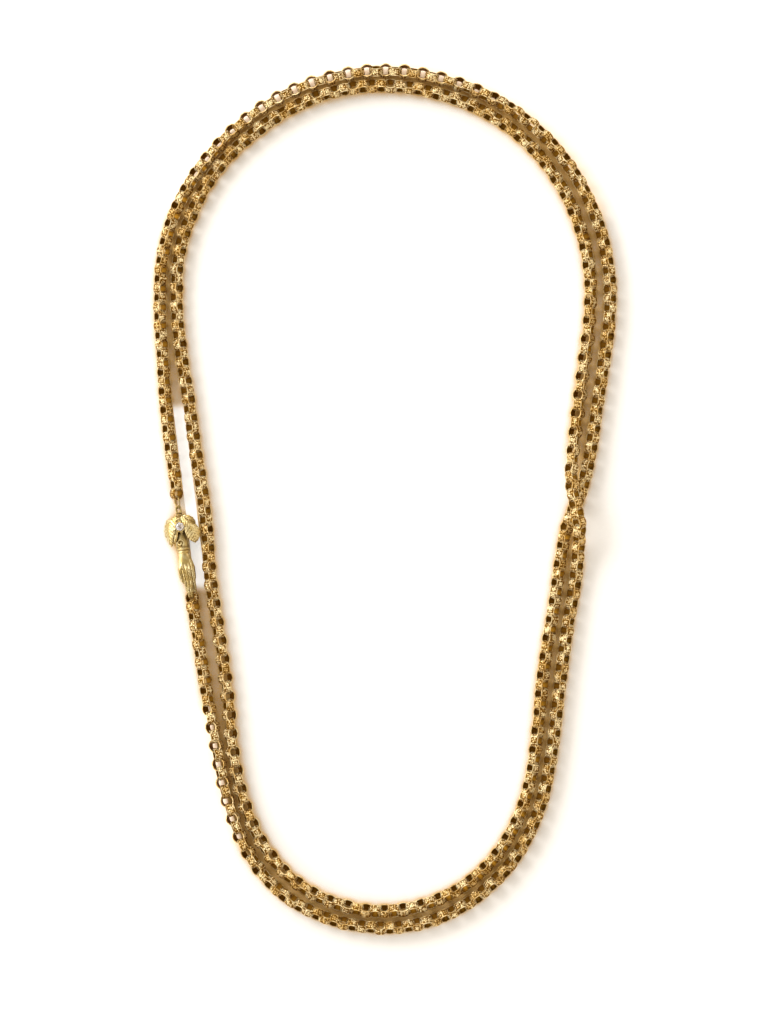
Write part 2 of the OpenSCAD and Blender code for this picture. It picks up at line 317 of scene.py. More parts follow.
def engraving_group():
    """Florets, buds and a punched ground round a link's band, from the link's own millimetres."""
    tree, given, out = new_group(
        "engraved_band",
        [("Place", "NodeSocketVector", None), ("Link", "NodeSocketFloat", 0.0),
         ("Outer Radius", "NodeSocketFloat", LINK_D / 2),
         ("Half Width", "NodeSocketFloat", BAND_W / 2), ("Florets", "NodeSocketFloat", 6.0)],
        [("Height", "NodeSocketFloat"), ("Raised", "NodeSocketFloat"),
         ("Outside", "NodeSocketFloat")])
    place = given.outputs["Place"]
    link, radius, half_width, florets = (
        Wire(tree, given.outputs[label])
        for label in ("Link", "Outer Radius", "Half Width", "Florets"))
    x, y, v = parts_of(tree, place)
    from_middle = v.calc("ABSOLUTE")
    edge = from_middle.ramp(half_width - 0.45, half_width - 0.1)
    outside = length_of(x, y).ramp(radius - 0.32, radius - 0.2).calc("MAXIMUM", edge * 0.8)

    # place in the floret, u round the band and v across it, each led a little astray
    turn_a_link = 0.618
    turn = y.calc("ARCTAN2", x) / (2 * math.pi) + link * turn_a_link
    pitch = radius * (2 * math.pi) / florets
    count = turn * florets
    floret_turn = own_number(tree, count.calc("FLOOR") * 0.37 + link) * (math.pi / 2)
    astray = put(tree, "ShaderNodeTexNoise",
                 {"Vector": place, "W": link, "Scale": 1.3, "Detail": 1.0},
                 noise_dimensions="4D")
    drift_u, drift_v, _ = parts_of(tree, astray.outputs["Color"])
    wander = 0.7
    u = (count.calc("FRACT") - 0.5) * pitch + (drift_u - 0.5) * wander
    v = v + (drift_v - 0.5) * wander
    across = v.calc("ABSOLUTE")

    def dome(du, dv, size):
        """A round boss, from its offsets: 1 at the middle and 0 at its edge."""
        far = length_of(du, dv) / size
        return (far * far * -1.0 + 1.0).calc("MAXIMUM", 0.0)

    # four petals round a heart, with buds between the florets
    reach = length_of(u, v)
    angle = v.calc("ARCTAN2", u) + floret_turn
    fold = ((angle / (2 * math.pi) * 4.0).calc("FRACT") - 0.5) * (math.pi / 2)
    petals = dome(reach * fold.calc("COSINE") - 0.52, reach * fold.calc("SINE"), 0.36)
    heart = dome(u, v, 0.24)
    side_u = u.calc("ABSOLUTE") - pitch / 2
    buds = dome(side_u, across - 0.72, 0.36).calc("MAXIMUM", dome(side_u, v, 0.34))
    raised = petals.calc("MAXIMUM", heart).calc("MAXIMUM", buds)

    # punched ground and beaded rim
    punch = put(tree, "ShaderNodeTexVoronoi", {"Vector": place, "Scale": 5.5})
    ground = Wire(tree, punch.outputs["Distance"]).ramp(0.15, 0.6) * 0.45
    beads_round = 64.0
    bead = (turn * beads_round * math.pi).calc("SINE").calc("ABSOLUTE")
    rim = (from_middle.ramp(half_width - 0.22, half_width - 0.15)
           * (bead * 0.3 + 0.15 + drift_v * 0.6))

    height = raised.calc("MAXIMUM", ground).calc("MAXIMUM", rim)
    feed(tree, out.inputs["Height"], height * outside)
    feed(tree, out.inputs["Raised"], raised.calc("MAXIMUM", rim).calc("MAXIMUM", ground * 0.25))
    feed(tree, out.inputs["Outside"], outside)
    return tree


def chain_gold(engraving):
    """Warm yellow gold, worn bright on what stands proud, with brown dirt and painted shade in the
    hollows and inside the links.
    """
    gold, tree, shader = new_finish("chain_gold")
    place = put(tree, "ShaderNodeAttribute", attribute_name="link_place").outputs["Vector"]
    number = put(tree, "ShaderNodeAttribute", attribute_name="link_number").outputs["Fac"]
    band = put(tree, "ShaderNodeGroup", node_tree=engraving)
    feed(tree, band.inputs["Place"], place)
    feed(tree, band.inputs["Link"], number)
    raised, outside, height = (Wire(tree, band.outputs[label])
                               for label in ("Raised", "Outside", "Height"))
    cloud = noise(tree, place_in(tree), 700.0, 3.0)
    # wear with painted shade: bright tone where the band stands proud, brown dirt and painted
    # shade in its hollows and all round the inside of the link
    worn_and_unshaded = (raised * 0.85 + (cloud - 0.54) * 1.7) * outside
    pale = (cloud + (own_number(tree, number) - 0.5) * 0.3).ramp(0.35, 0.65)
    tone = mixed(tree, pale, CHAIN_DEEP, CHAIN_PALE)
    chain_shade_and_dirt = mixed(tree, outside, CHAIN_DIRT_AND_SHADE_INSIDE, CHAIN_DIRT_AND_SHADE_OUTSIDE)
    feed(tree, shader.inputs["Base Color"], mixed(tree, worn_and_unshaded.ramp(0.0, 0.4), chain_shade_and_dirt, tone))
    shader.inputs["Metallic"].default_value = 1.0
    dull, bright, full_wear = 0.55, 0.24, 0.8
    polish = put(tree, "ShaderNodeMapRange", {0: worn_and_unshaded, 1: 0.0, 2: full_wear, 3: dull, 4: bright})
    feed(tree, shader.inputs["Roughness"], polish.outputs[0])
    relief = put(tree, "ShaderNodeBump", {"Distance": 0.26 * MM, "Strength": 1.0})
    feed(tree, relief.inputs["Height"], height)
    feed(tree, shader.inputs["Normal"], relief.outputs[0])
    return gold


# The chain

def link_tree():
    """Interlocked round links along a curve, each leaning across the next."""
    tree = bpy.data.node_groups.new("belcher_links", "GeometryNodeTree")
    face = tree.interface
    face.new_socket("Geometry", in_out="INPUT", socket_type="NodeSocketGeometry")
    sizes = [("Links", "Int", LINKS), ("First", "Int", 0), ("Last", "Int", LINKS),
             ("Link Diameter", "Float", LINK_D), ("Band Width", "Float", BAND_W),
             ("Band Thickness", "Float", BAND_T), ("Lean", "Float", 60.0),
             ("Play", "Float", 6.0), ("Seed", "Int", 7)]
    for name, kind, value in sizes:
        face.new_socket(name, in_out="INPUT", socket_type="NodeSocket" + kind)
        face.items_tree[name].default_value = value
    face.new_socket("Finish", in_out="INPUT", socket_type="NodeSocketMaterial")
    face.new_socket("Geometry", in_out="OUTPUT", socket_type="NodeSocketGeometry")
    given = tree.nodes.new("NodeGroupInput")
    value = {name: Wire(tree, given.outputs[name]) for name, _, _ in sizes}

    # one link, from a ring and the six corners of its band
    radius = value["Link Diameter"] / 2
    inner = radius - value["Band Thickness"]
    shoulder = radius - value["Band Thickness"] / 3
    half = value["Band Width"] / 2
    ring = put(tree, "GeometryNodeCurvePrimitiveCircle", {"Resolution": 20})
    corners = put(tree, "GeometryNodeCurvePrimitiveCircle", {"Resolution": 6})
    chosen = put(tree, "GeometryNodeIndexSwitch", data_type="VECTOR")
    for _ in range(4):
        chosen.index_switch_items.new()
    feed(tree, chosen.inputs[0], put(tree, "GeometryNodeInputIndex").outputs[0])
    low, low_shoulder = half * -1.0, half * -0.5
    band = [(inner, low), (shoulder, low), (radius, low_shoulder), (radius, half * 0.5),
            (shoulder, half), (inner, half)]
    for k, (out, aside) in enumerate(band):
        corner = put(tree, "ShaderNodeCombineXYZ", {0: out - 1.0, 1: aside})
        feed(tree, chosen.inputs[k + 1], corner.outputs[0])
    profile = put(tree, "GeometryNodeSetPosition",
                  {"Geometry": corners.outputs[0], "Position": chosen.outputs[0]})
    swept = put(tree, "GeometryNodeCurveToMesh",
                {"Curve": ring.outputs[0], "Profile Curve": profile.outputs[0]})
    at = put(tree, "GeometryNodeInputPosition").outputs[0]
    placed = put(tree, "GeometryNodeStoreNamedAttribute",
                 {"Geometry": swept.outputs[0], "Name": "link_place", 3: at},
                 data_type="FLOAT_VECTOR", domain="POINT")
    smooth = put(tree, "GeometryNodeSetShadeSmooth", {0: placed.outputs[0]})
    bend = Wire(tree, put(tree, "GeometryNodeInputMeshEdgeAngle").outputs[0])
    creased = put(tree, "GeometryNodeStoreNamedAttribute",
                  {"Geometry": smooth.outputs[0], "Name": "sharp_edge",
                   3: bend.calc("GREATER_THAN", 0.6)},
                  data_type="BOOLEAN", domain="EDGE")

    # a place for each link along the route
    strand = put(tree, "GeometryNodeResampleCurve",
                 {"Curve": given.outputs["Geometry"], "Count": value["Links"]})
    number = Wire(tree, put(tree, "GeometryNodeInputIndex").outputs[0])
    numbered = put(tree, "GeometryNodeStoreNamedAttribute",
                   {"Geometry": strand.outputs[0], "Name": "link_number", 3: number},
                   data_type="FLOAT", domain="POINT")
    ahead = put(tree, "GeometryNodeInputTangent").outputs[0]
    facing = put(tree, "FunctionNodeAxesToRotation", {0: ahead, 1: (0, 0, 1)},
                 primary_axis="Y", secondary_axis="Z")
    side = number.calc("MODULO", 2.0) * -2.0 + 1.0
    jitter = put(tree, "FunctionNodeRandomValue",
                 {2: value["Play"] * -1.0, 3: value["Play"], "Seed": value["Seed"]})
    roll = Wire(tree, put(tree, "GeometryNodeInputCurveTilt").outputs[0])
    lean = side * value["Lean"] + Wire(tree, jitter.outputs[1])
    turned = put(tree, "FunctionNodeAxisAngleToRotation",
                 {"Axis": (0, 1, 0), "Angle": lean * (math.pi / 180) + roll})
    rotation = put(tree, "FunctionNodeRotateRotation",
                   {0: facing.outputs[0], 1: turned.outputs[0]}, rotation_space="LOCAL")
    wanted = (number.calc("GREATER_THAN", value["First"] - 0.5)
              * number.calc("LESS_THAN", value["Last"] + 0.5))
    links = put(tree, "GeometryNodeInstanceOnPoints",
                {"Points": numbered.outputs[0], "Selection": wanted,
                 "Instance": creased.outputs[0], "Rotation": rotation.outputs[0],
                 "Scale": (MM, MM, MM)})
    real = put(tree, "GeometryNodeRealizeInstances", {0: links.outputs[0]})
    finished = put(tree, "GeometryNodeSetMaterial",
                   {0: real.outputs[0], "Material": given.outputs["Finish"]})
    put(tree, "NodeGroupOutput", {0: finished.outputs[0]})
    return tree


def route_curve():
    """The chain's centre line as one smooth curve, with the links' roll as its tilt."""
    curve = bpy.data.curves.new("chain_route", "CURVE")
    curve.dimensions = "3D"
    curve.resolution_u = 16
    line = curve.splines.new("BEZIER")
    line.bezier_points.add(len(ROUTE) - 1)
    for point, (x, y, rise, roll) in zip(line.bezier_points, ROUTE):
        point.co = Vector((x, y, CHAIN_W / 2 + rise)) * MM
        point.handle_left_type = point.handle_right_type = "AUTO"
        point.tilt = math.radians(roll)
    return curve


def set_inputs(modifier, values):
    """Sets a geometry nodes modifier's inputs by their labels."""
    for item in modifier.node_group.interface.items_tree:
        if item.item_type == "SOCKET" and item.in_out == "INPUT" and item.name in values:
            modifier[item.identifier] = values[item.name]


def plain_mesh(maker):
    """What an object's modifiers make, as a plain mesh; the object itself goes."""
    shown = maker.evaluated_get(bpy.context.evaluated_depsgraph_get())
    mesh = bpy.data.meshes.new_from_object(shown)
    bpy.data.objects.remove(maker)
    return mesh


def add_links(name, tree, curve, first, last, gold, nodes):
    """The links numbered first to last, in the place of CAD nodes; a single one is smaller."""
    maker = show(name + "_maker", curve)
    modifier = maker.modifiers.new("links", "NODES")
    modifier.node_group = tree
    values = {"First": first, "Last": last, "Finish": gold}
    if first == last:
        values.update({"Play": 0.0, "Link Diameter": END_LINK_D, "Band Width": END_BAND_W})
    set_inputs(modifier, values)
    mesh = plain_mesh(maker)
    mesh.name = name
    piece = show(name, mesh)
    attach(piece, "root")
    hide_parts(*nodes)
    return piece


# The clasp, drawn in its own millimetres: bail at the origin, fingers along -Y

CLASP_AT = (-69.1, -2.3)
CLASP_TURN = 9.0
WRIST_X, WRIST_Z = -0.45, 2.6
SEAM_Y = -16.05
COLLAR_R = 2.2
RING_Z = 2.25
STONE_AT = Vector((-0.25, -7.1, 6.4))
STONE_R = 1.35

# Leaves of the cuff as rows from foot to tip: left edge, middle and right edge of the upper face
LEFT_LEAF = [
    [(-2.4, -4.1, 4.1), (-1.6, -3.7, 4.8), (-0.7, -3.9, 5.1)],
    [(-4.3, -4.4, 2.7), (-3.0, -4.9, 4.9), (-1.1, -5.2, 5.7)],
    [(-5.4, -6.6, 2.1), (-3.9, -7.0, 5.0), (-1.7, -7.3, 6.1)],
    [(-5.7, -8.9, 2.0), (-4.2, -9.2, 5.0), (-2.3, -9.1, 5.9)],
    [(-5.2, -11.0, 2.4), (-4.3, -11.1, 4.8), (-3.15, -10.9, 5.4)],
    [(-4.6, -12.6, 3.2), (-4.15, -12.6, 4.5), (-3.65, -12.3, 4.8)],
    [(-4.1, -13.5, 3.9), (-4.0, -13.5, 4.0), (-3.9, -13.4, 4.0)],
]
RIGHT_LEAF = [
    [(0.4, -4.3, 5.3), (1.1, -3.9, 5.1), (1.9, -4.0, 4.5)],
    [(1.0, -6.3, 6.2), (2.4, -5.9, 6.0), (3.7, -5.9, 4.7)],
    [(1.2, -8.2, 6.2), (3.4, -7.9, 6.4), (5.4, -7.5, 4.7)],
    [(1.35, -9.8, 5.8), (3.8, -9.6, 6.2), (6.1, -9.1, 4.7)],
    [(1.9, -11.3, 5.2), (4.0, -11.2, 5.7), (5.9, -10.8, 4.6)],
    [(2.9, -12.5, 4.6), (4.1, -12.5, 5.0), (5.2, -12.2, 4.4)],
    [(3.9, -13.2, 4.2), (4.0, -13.2, 4.3), (4.1, -13.2, 4.2)],
]
BACK_LEAF = [
    [(0.4, -5.7, 4.9), (0.5, -4.8, 4.8), (0.6, -3.9, 4.4)],
    [(2.2, -6.4, 4.7), (2.2, -5.0, 4.9), (2.1, -3.5, 4.4)],
    [(3.6, -7.4, 4.1), (3.7, -5.8, 4.3), (3.7, -4.1, 3.8)],
    [(4.6, -8.2, 3.1), (4.8, -6.9, 3.3), (4.8, -5.4, 3.0)],
    [(5.0, -8.1, 2.2), (5.0, -8.0, 2.2), (5.0, -7.9, 2.2)],
]
NARROW_LEAF = [
    [(-1.85, -8.2, 5.6), (-1.4, -8.3, 5.95), (-0.95, -8.4, 5.6)],
    [(-2.55, -9.9, 5.4), (-2.0, -10.0, 5.8), (-1.4, -10.1, 5.4)],
    [(-3.2, -11.6, 4.8), (-2.65, -11.7, 5.2), (-2.1, -11.8, 4.8)],
    [(-3.3, -12.7, 4.1), (-3.25, -12.75, 4.2), (-3.2, -12.7, 4.1)],
]
FRONT_LEAF = [
    [(-1.5, -4.3, 5.0), (-0.2, -4.2, 5.3), (1.1, -4.3, 5.0)],
    [(-1.7, -6.6, 5.2), (-0.2, -6.6, 5.6), (1.3, -6.6, 5.2)],
    [(-0.75, -8.7, 5.3), (-0.1, -8.7, 5.7), (0.6, -8.7, 5.3)],
    [(0.1, -10.1, 4.9), (0.13, -10.1, 4.95), (0.16, -10.1, 4.9)],
]
# Leaves round the sides and below: [turn, foot height, flare, sideways, length, width, arch, foot]
LOWER_LEAVES = [
    [-62, 1.6, 30, -24, 5.2, 4.4, 0.7, 3.7], [100, 1.9, 14, 0, 6.8, 4.6, 0.8, 4.6],
    [150, 1.3, 4, 6, 7.2, 5, 0.4, 4.8], [210, 1.3, 4, -6, 7.2, 5, 0.4, 4.8],
    [-100, 1.9, 14, 0, 7.6, 4.6, 0.8, 4.6],
]


def along(points, u):
    """The point at u, from 0 to 1, of a smooth curve through the points."""
    last = len(points) - 1
    k = min(int(u * last), last - 1)
    t = u * last - k
    a, b, c, d = (Vector(points[min(max(k + m, 0), last)]) for m in (-1, 0, 1, 2))
    return 0.5 * (2 * b + (c - a) * t + (2 * a - 5 * b + 4 * c - d) * t * t
                  + (3 * b - a - 3 * c + d) * t ** 3)


class Cast:
    """A metal piece made of closed shells; each corner has engraving: line, depth, and brown dirt
    with painted shade.
    """

    def __init__(self):
        self.points, self.faces, self.engraving = [], [], []
        self.dirt_and_shade = 0.0

    def add(self, points, faces, engraving=None):
        """Adds a closed shell."""
        start = len(self.points)
        self.points += points
        self.faces += [[start + k for k in face] for face in faces]
        self.engraving += engraving or [(0.0, 0.0, self.dirt_and_shade)] * len(points)

    def rings(self, rings, loop=False):
        """Skin over rings of points, closed at the ends or joined into a loop."""
        sides, n = len(rings[0]), len(rings)
        faces = []
        for i in range(n if loop else n - 1):
            for k in range(sides):
                m, j = (k + 1) % sides, (i + 1) % n
                faces.append([i * sides + k, i * sides + m, j * sides + m, j * sides + k])
        if not loop:
            faces += [list(range(sides))[::-1], [(n - 1) * sides + k for k in range(sides)]]
        self.add([p for ring in rings for p in ring], faces)

    def tube(self, path, radii, sides=12, steps=40, squash=1.0):
        """Wire along a smooth path, with radii from end to end, closed at its ends."""
        spots = [along(path, i / steps) for i in range(steps + 1)]
        sizes = [along([(r, 0, 0) for r in radii], i / steps).x for i in range(steps + 1)]
        rings = []
        for i, spot in enumerate(spots):
            ahead = (spots[min(i + 1, steps)] - spots[max(i - 1, 0)]).normalized()
            side = ahead.cross(Vector((0, 0, 1)) if abs(ahead.z) < 0.9 else Vector((1, 0, 0)))
            side.normalize()
            up = side.cross(ahead)
            rings.append([spot + sizes[i] * (math.cos(a) * side + math.sin(a) * up * squash)
                          for a in (2 * math.pi * k / sides for k in range(sides))])
        self.rings(rings)

    def turned(self, profile, at, sides=48, upright=False):
        """A turned solid from [radius, distance] pairs, its axis along -Y or up."""
        rings = []
        for radius, far in profile:
            ring = []
            for a in (2 * math.pi * k / sides for k in range(sides)):
                x, z = radius * math.cos(a), radius * math.sin(a)
                ring.append(Vector(at) + Vector((x, z, far) if upright else (x, -far, z)))
            rings.append(ring)
        self.rings(rings)

    def leaf(self, rows, thick=0.42, ruffle=0.1, waves=7, cut=(1.0, 0.4), length=40, width=16):
        """A thin leaf over rows of left edge, middle and right edge, ruffled at its edges."""
        lines_a_wave, slant = 0.034, 1.7
        edge_lines = [[row[k] for row in rows] for k in range(3)]
        layers, engraving = [[], []], []
        for i in range(length + 1):
            u = i / length
            left, middle, right = (along(line, u) for line in edge_lines)
            for j in range(width + 1):
                v = 2 * j / width - 1
                spot = (left * (v * (v - 1) / 2) + middle * (1 - v * v)
                        + right * (v * (v + 1) / 2))
                across = right - left
                forward = (along(edge_lines[1], min(u + 0.02, 1))
                           - along(edge_lines[1], max(u - 0.02, 0)))
                normal = across.cross(forward).normalized() * -1.0
                wave = math.sin(u * waves * 2 * math.pi + v)
                edge = abs(v) ** 3 * min(1.0, u * 5, (1 - u) * 5)
                rib = 0.16 * math.exp(-(v / 0.09) ** 2) * min(1.0, (1 - u) * 4)
                spot += normal * (ruffle * wave * edge + rib)
                spot += across.normalized() * (v * edge * ruffle * 0.6 * abs(wave))
                layers[0].append(spot)
                layers[1].append(spot - normal * thick * (1 - 0.55 * abs(v) ** 3))
                depth = cut[0] if v < 0 else cut[1]
                line = u * length * lines_a_wave * waves - abs(v) * slant
                engraving.append((line, depth, self.dirt_and_shade))
        wide, count = width + 1, len(layers[0])
        faces = []
        for i in range(length):
            for j in range(width):
                a, b = i * wide + j, (i + 1) * wide + j
                faces += [[a, a + 1, b + 1, b],
                          [count + a, count + b, count + b + 1, count + a + 1]]
            for j in (0, width):
                a, b = i * wide + j, (i + 1) * wide + j
                faces.append([a, b, count + b, count + a])
        for j in range(width):
            for a in (j, length * wide + j):
                faces.append([a, a + 1, count + a + 1, count + a])
        # painted shade: the leaf's under face is brown all over
        self.add(layers[0] + layers[1], faces, engraving + [(0.0, 0.0, 1.0)] * count)

    def mesh(self, name):
        """The shells as one mesh that faces outwards, with its engraving."""
        mesh = bpy.data.meshes.new(name)
        mesh.from_pydata(self.points, [], self.faces)
        mark = mesh.attributes.new("engraving", "FLOAT_VECTOR", "POINT")
        for k, numbers in enumerate(self.engraving):
            mark.data[k].vector = numbers
        solid = bmesh.new()
        solid.from_mesh(mesh)
        bmesh.ops.recalc_face_normals(solid, faces=solid.faces)
        solid.to_mesh(mesh)
        solid.free()
        return mesh


def mark_hollows(mesh):
    """Writes how hollow the metal is at each corner into its engraving, as a painted shade that
    browns the hollows.
    """
    solid = bmesh.new()
    solid.from_mesh(mesh)
    near = [[edge.other_vert(v).index for edge in v.link_edges] for v in solid.verts]
    hollow = []
    for v in solid.verts:
        rise = sum(((edge.other_vert(v).co - v.co).dot(v.normal) for edge in v.link_edges), 0.0)
        reach = sum((edge.calc_length() for edge in v.link_edges), 1e-9)
        hollow.append(max(0.0, min(1.0, 4.0 * rise / reach)))
    solid.free()
    for _ in range(3):
        hollow = [0.5 * own + 0.5 * sum(hollow[k] for k in ring) / max(len(ring), 1)
                  for own, ring in zip(hollow, near)]
    mark = mesh.attributes["engraving"]
    for k, depth in enumerate(hollow):
        line, cut, dirt_and_shade = mark.data[k].vector
        mark.data[k].vector = (line, cut, max(depth, dirt_and_shade))


def add_clasp_piece(name, mesh, finish, nodes, crease=50):
    """Puts a finished mesh, drawn in the clasp's millimetres, in the place of CAD nodes."""
    mesh.transform(Matrix.Translation((CLASP_AT[0] * MM, CLASP_AT[1] * MM, 0))
                   @ Matrix.Rotation(math.radians(CLASP_TURN), 4, "Z") @ Matrix.Scale(MM, 4))
    mesh.name = name
    for face in mesh.polygons:
        face.use_smooth = True
    mesh.set_sharp_from_angle(angle=math.radians(crease))
    mesh.materials.append(finish)
    piece = show(name, mesh)
    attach(piece, "root")
    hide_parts(*nodes)
    return piece


def lower_leaf_rows(turn, foot, flare, sideways, length, width, arch, start):
    """Rows of a plain leaf that springs from the bell."""
    place = (Matrix.Translation((0, -start, WRIST_Z)) @ Matrix.Rotation(math.radians(turn), 4, "Y")
             @ Matrix.Translation((0, 0, foot)) @ Matrix.Rotation(math.radians(-flare), 4, "X")
             @ Matrix.Rotation(math.radians(sideways), 4, "Z"))
    rows = []
    for i in range(7):
        u = i / 6
        half = 0.2 + (width / 2 - 0.2) * max(math.sin(math.pi * u ** 0.85), 0.0) ** 0.6
        rise = arch * math.sin(math.radians(150 * u)) + 0.5 * u * u
        rows.append([place @ Vector((v * half, -length * u, rise - 0.35 * arch * v * v))
                     for v in (-1, 0, 1)])
    return rows


def cuff_mesh():
    """Bail, leafy cuff, cup of the stone, wrist collar and scroll."""
    cast = Cast()
    # painted shade: the bell under the leaves is browned as if in their shadow
    cast.dirt_and_shade = 0.9
    cast.turned([(0.9, 3.3), (1.35, 3.5), (2.0, 4.2), (2.4, 5.2), (2.5, 6.2), (2.4, 7.2),
                 (1.9, 7.9), (1.6, 8.4), (1.6, 11.6)], (0, 0, WRIST_Z))
    cast.dirt_and_shade = 0.1
    cast.turned([(1.3, 9.0), (1.7, 9.2), (1.95, 9.6), (2.1, 10.4), (2.14, 12.0), (2.14, 13.4),
                 (2.1, 14.2), (COLLAR_R, 14.35), (COLLAR_R, 14.6),
                 (2.05, 14.8), (1.86, 15.0), (1.84, 15.2), (1.95, 15.4), (1.98, 15.65),
                 (1.9, 15.9), (1.8, -SEAM_Y - 0.02)], (WRIST_X, 0, WRIST_Z))
    cast.dirt_and_shade = 0.0
    cast.leaf(LEFT_LEAF, ruffle=0.2, waves=8, cut=(0.6, 0.7))
    cast.leaf(RIGHT_LEAF, ruffle=0.14, waves=7, cut=(0.95, 0.5))
    cast.leaf(BACK_LEAF, ruffle=0.15, waves=5, cut=(0.6, 0.6), length=28)
    cast.leaf(NARROW_LEAF, ruffle=0.0, waves=3, cut=(0.0, 0.0), length=20, width=8)
    cast.leaf(FRONT_LEAF, ruffle=0.0, waves=3, cut=(0.3, 0.3), length=24, width=10)
    for numbers in LOWER_LEAVES:
        cast.leaf(lower_leaf_rows(*numbers), ruffle=0.14, waves=6, cut=(0.8, 0.8), length=30,
                  width=12)

    # bail: a wire loop on a flared stem
    cast.dirt_and_shade = 0.22
    loop_r, wire = 0.67, 0.33
    centre = Vector((0, -loop_r - wire, RING_Z))
    bend = [centre + loop_r * Vector((math.cos(a), math.sin(a), 0))
            for a in (math.pi * k / 8 for k in range(9))]
    ends = [centre + Vector((side * loop_r, -1.5, 0)) for side in (1, -1)]
    cast.tube([ends[0], *bend, ends[1]], [wire] * 4, sides=12, steps=36)
    cast.turned([(0.6, 2.3), (1.0, 2.5), (1.12, 2.62), (0.95, 2.8), (1.0, 3.0), (1.3, 3.4),
                 (1.4, 3.9)], (0, 0, RING_Z), sides=32)
    cast.dirt_and_shade = 0.0

    # cup and claws
    rim = STONE_R + 0.34
    cast.turned([(0.4, -2.6), (rim - 0.35, -2.5), (rim - 0.12, -1.2), (rim, -0.5), (rim, -0.12),
                 (rim - 0.08, -0.05), (STONE_R + 0.16, -0.06), (0.35, -1.25)], STONE_AT,
                upright=True)
    for k in range(6):
        a = math.radians(11 + 60 * k)
        out = Vector((math.cos(a), math.sin(a), 0))
        cast.tube([STONE_AT + out * reach + Vector((0, 0, rise)) for reach, rise in (
            (rim + 0.02, -1.0), (rim + 0.03, -0.3), (STONE_R + 0.2, 0.2), (STONE_R - 0.08, 0.42))],
            [0.2, 0.21, 0.2, 0.1], sides=10, steps=14)

    # scroll on the collar
    scroll_y, scroll_lean = -12.5, math.radians(-14)
    place = (Matrix.Translation((WRIST_X, scroll_y, WRIST_Z))
             @ Matrix.Rotation(scroll_lean, 4, "Y") @ Matrix.Translation((0, 0, COLLAR_R)))

    def bent(r, a, rise):
        """A point over the round of the collar, from its place in the scroll."""
        across = r * math.cos(a)
        return place @ Vector((across, r * math.sin(a), rise - 0.22 * across * across))

    cast.dirt_and_shade = 0.55
    cast.rings([[bent(r, 2 * math.pi * k / 24, rise) for k in range(24)]
                for r, rise in ((0.1, -0.4), (1.3, -0.4), (1.33, 0.0), (0.7, 0.03), (0.1, 0.03))])
    cast.dirt_and_shade = 0.0
    turns, steps = 1.25, 48
    coil = [bent(1.27 - 0.95 * i / steps, 2 * math.pi * turns * i / steps - 0.9,
                 0.12 + 0.14 * i / steps) for i in range(steps + 1)]
    cast.tube(coil, [0.25, 0.24, 0.22, 0.3], sides=10, steps=120)
    return cast.mesh("cuff_cast")


# Fingers from knuckle to tip: [distance from the bail, height, sideways]
LONG_FINGER = [[20, 3.2, 0], [21.6, 3.75, 0], [24, 4, 0], [26.8, 4.1, -0.1], [29.3, 4.15, -0.4],
               [30.6, 3.75, -0.45], [31, 2.7, -0.15], [30.8, 1.45, 0.3], [30, 0.62, 0.7],
               [28.6, 0.48, 0.8], [27.2, 0.6, 0.6]]
SHORT_FINGER = [[20, 3, 0], [21.6, 3.5, 0], [24, 3.75, 0], [26.4, 3.75, 0], [28.1, 3.5, 0],
                [28.9, 3.1, 0]]
# Side at the knuckle, side at the tip, and path of each finger
FINGERS = [[-1.5, -1.2, SHORT_FINGER], [-0.45, -0.35, LONG_FINGER], [0.65, 0.55, LONG_FINGER],
           [1.7, 1.5, SHORT_FINGER]]
# The back of the hand is skinned over these balls and the wrist's end: [middle, half sizes]
HAND_BALLS = [
    [(WRIST_X, -18.4, WRIST_Z), (2.35, 1.6, 1.75)],
    [(-1.6, -21.2, 2.3), (1.35, 1.35, 1.35)], [(1.15, -21.2, 2.3), (1.35, 1.35, 1.35)],
    [(-1.1, -24.6, 1.9), (1.1, 1.1, 1.1)], [(1.2, -24.6, 1.9), (1.1, 1.1, 1.1)],
]
WRIST_END_R = 1.85
THUMB = [(-1.3, -18.8, 2.9), (-2.1, -20.6, 3.3), (-2.5, -22.6, 3.4), (-2.4, -24.4, 3.2),
         (-1.95, -25.7, 2.9), (-1.8, -26.1, 2.8)]


